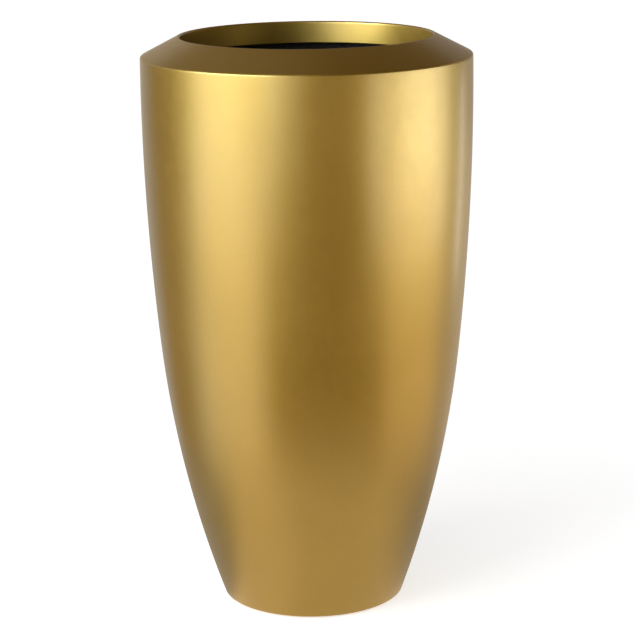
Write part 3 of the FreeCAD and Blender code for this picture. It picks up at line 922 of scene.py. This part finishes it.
def soft_box(name, azimuth, distance, low, high, width, radiance):
    """Upright soft box that faces the axis of the planter."""
    item = add_lamp(name, "AREA", radiance * math.pi * width * (high - low))
    item.data.shape = "RECTANGLE"
    item.data.size = width
    item.data.size_y = high - low
    middle = (low + high) / 2
    aim(item, bearing(azimuth, distance, middle), Vector((0.0, 0.0, middle)))


def inside_lamp():
    """Lamp straight above that lights the inside through the mouth and nothing else."""
    item = add_lamp("inside_lamp", "SPOT", INSIDE_LAMP_POWER)
    item.data.spot_size = 2 * math.atan(MOUTH_RADIUS / (INSIDE_LAMP_HEIGHT - HEIGHT))
    item.data.spot_blend = INSIDE_LAMP_BLEND
    item.data.shadow_soft_size = INSIDE_LAMP_RADIUS
    item.location = (0.0, 0.0, INSIDE_LAMP_HEIGHT)
    item.visible_glossy = False


def lip_lamp():
    """Small warm lamp over the left of the mouth that lights the return lip across from it."""
    item = add_lamp("lip_lamp", "AREA", LIP_LAMP_POWER)
    item.data.size = LIP_LAMP_SIZE
    item.data.spread = LIP_LAMP_SPREAD
    item.data.color = LIP_LAMP_COLOUR
    place = bearing(LIP_LAMP_AZIMUTH, LIP_LAMP_DISTANCE, HEIGHT + LIP_LAMP_RISE)
    aim(item, place, bearing(LIP_LAMP_TARGET, MOUTH_RADIUS, HEIGHT - LIP_DEPTH / 2))


def plain_sheet(name, corners, faces, material):
    """Sheet of the studio, which is no part of the planter."""
    mesh = bpy.data.meshes.new(name)
    mesh.from_pydata([tuple(corner) for corner in corners], [], faces)
    mesh.materials.append(material)
    item = add_object(name, mesh)
    return item


def card(name, start, stop, shade):
    """Card all round the planter that shows only in reflections, as cards in a product shot do.

    start and stop are its edges (distance, height), and shade(tree, place) gives its colour.
    """
    material, tree, surface, place = new_material(name)
    connect(tree, surface, Base_Color=BLACK, Specular_IOR_Level=0.0,
            Emission_Color=shade(tree, place), Emission_Strength=1.0)
    corners = []
    for step in range(CARD_SIDES):
        azimuth = 360.0 * step / CARD_SIDES
        corners += [bearing(azimuth, *start), bearing(azimuth, *stop)]
    count = len(corners)
    faces = [(low, low + 1, (low + 3) % count, (low + 2) % count) for low in range(0, count, 2)]
    item = plain_sheet(name, corners, faces, material)
    item.visible_camera = False
    item.visible_diffuse = False
    item.visible_transmission = False
    item.visible_shadow = False


def by_azimuth(tree, place, stops):
    """Colour graded round the planter through stops (azimuth from -90 to 270, brightness, warmth)."""
    around = add(tree, "ShaderNodeTexGradient", {"gradient_type": "RADIAL"}, Vector=place)
    ramp = add(tree, "ShaderNodeValToRGB", Fac=around.outputs["Fac"])
    points = ramp.color_ramp.elements
    while len(points) < len(stops):
        points.new(0.5)
    for point, (azimuth, _, _) in zip(points, stops):
        point.position = (azimuth - FIRST_AZIMUTH) / 360.0
    for point, (_, brightness, warmth) in zip(points, stops):
        point.color = (*(brightness * (1.0 - warmth * (1.0 - tint)) for tint in CARD_TINT), 1.0)
    return ramp.outputs["Color"]


def floor_shade(tree, place):
    """Shades of the floor card, near the planter and farther out."""
    near = by_azimuth(tree, place, NEAR_SHADES)
    far = by_azimuth(tree, place, FAR_SHADES)
    return mix_colours(tree, span(tree, distance_out(tree, place), NEAR_TO_FAR), near, far)


def room_shade(tree, place):
    """Shades of the upright card, low down and higher up."""
    low = by_azimuth(tree, place, LOW_ROOM_SHADES)
    high = by_azimuth(tree, place, HIGH_ROOM_SHADES)
    return mix_colours(tree, span(tree, upward(tree, place), LOW_TO_HIGH), low, high)


def ceiling_shade(tree, place):
    """Shades of the card overhead."""
    return by_azimuth(tree, place, CEILING_SHADES)


def seen_directly(tree):
    """1 for rays that show the background itself: from the camera, or off gloss or glass."""
    path = add(tree, "ShaderNodeLightPath").outputs
    shown = calculate(tree, "MAXIMUM", path["Is Camera Ray"], path["Is Glossy Ray"])
    return calculate(tree, "MAXIMUM", shown, path["Is Transmission Ray"])


def studio_floor():
    """White floor that keeps the planter's shadow and stays white where the lamps don't reach."""
    material, tree, surface, place = new_material("studio_floor")
    speck = noise(tree, place, scale=40.0, detail=4.0)
    lift = span(tree, distance_out(tree, place), FLOOR_REACH, FLOOR_LIFT)
    connect(tree, surface, Base_Color=mix_colours(tree, speck, FLOOR_GREY, FLOOR_PALE),
            Roughness=FLOOR_ROUGHNESS, Specular_IOR_Level=0.0, Emission_Color=WHITE,
            Emission_Strength=calculate(tree, "MULTIPLY", lift, seen_directly(tree)))
    half = FLOOR_SIZE / 2
    corners = [(-half, -half, 0.0), (half, -half, 0.0), (half, half, 0.0), (-half, half, 0.0)]
    plain_sheet("studio_floor", corners, [(0, 1, 2, 3)], material)


def studio_world():
    """White surroundings where they show, and a dim even light elsewhere."""
    world = bpy.data.worlds.new("studio_world")
    bpy.context.scene.world = world
    world.use_nodes = True
    tree = world.node_tree
    connect(tree, tree.nodes["Background"], Color=WHITE,
            Strength=span(tree, seen_directly(tree), UNIT, WORLD_STRENGTH))


def studio():
    """Camera, floor, surroundings, lamps and cards."""
    bpy.context.scene.view_settings.view_transform = "Standard"
    camera()
    studio_floor()
    studio_world()
    for box in SOFT_BOXES:
        soft_box(*box)
    inside_lamp()
    lip_lamp()
    floor_edges = (FLOOR_CARD_HOLE, FLOOR_CARD_HEIGHT), (CARD_DISTANCE, FLOOR_CARD_HEIGHT)
    room_edges = (CARD_DISTANCE, 0.0), (CARD_DISTANCE, CEILING_HEIGHT)
    ceiling_edges = (CARD_DISTANCE, CEILING_HEIGHT), (CEILING_HOLE, CEILING_HEIGHT)
    card("floor_card", *floor_edges, floor_shade)
    card("room_card", *room_edges, room_shade)
    card("ceiling_card", *ceiling_edges, ceiling_shade)


gold = gold_lacquer()
laminate = black_laminate()
nylon = moulded("black_nylon", NYLON_DARK, NYLON_LIGHT, NYLON_ROUGHNESS, *NYLON_GRAIN)
plug_rubber = moulded("plug_rubber", PLUG_DARK, PLUG_LIGHT, PLUG_ROUGHNESS, *RUBBER_GRAIN)
foot_rubber = moulded("foot_rubber", FOOT_DARK, FOOT_LIGHT, FOOT_ROUGHNESS, *RUBBER_GRAIN)

shell_moulding(gold, laminate)
rim_moulding(gold, laminate)
paste_bead(bonding_paste())
cover_laminate(laminate)
for number in DRAINS:
    drain_liner(number, nylon)
    stopper(number, plug_rubber)
for number in FEET:
    rubber_foot(number, foot_rubber)
foot_fixings(zinc())
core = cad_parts["floor_core"]
core.data.materials.clear()
core.data.materials.append(plywood())
studio()
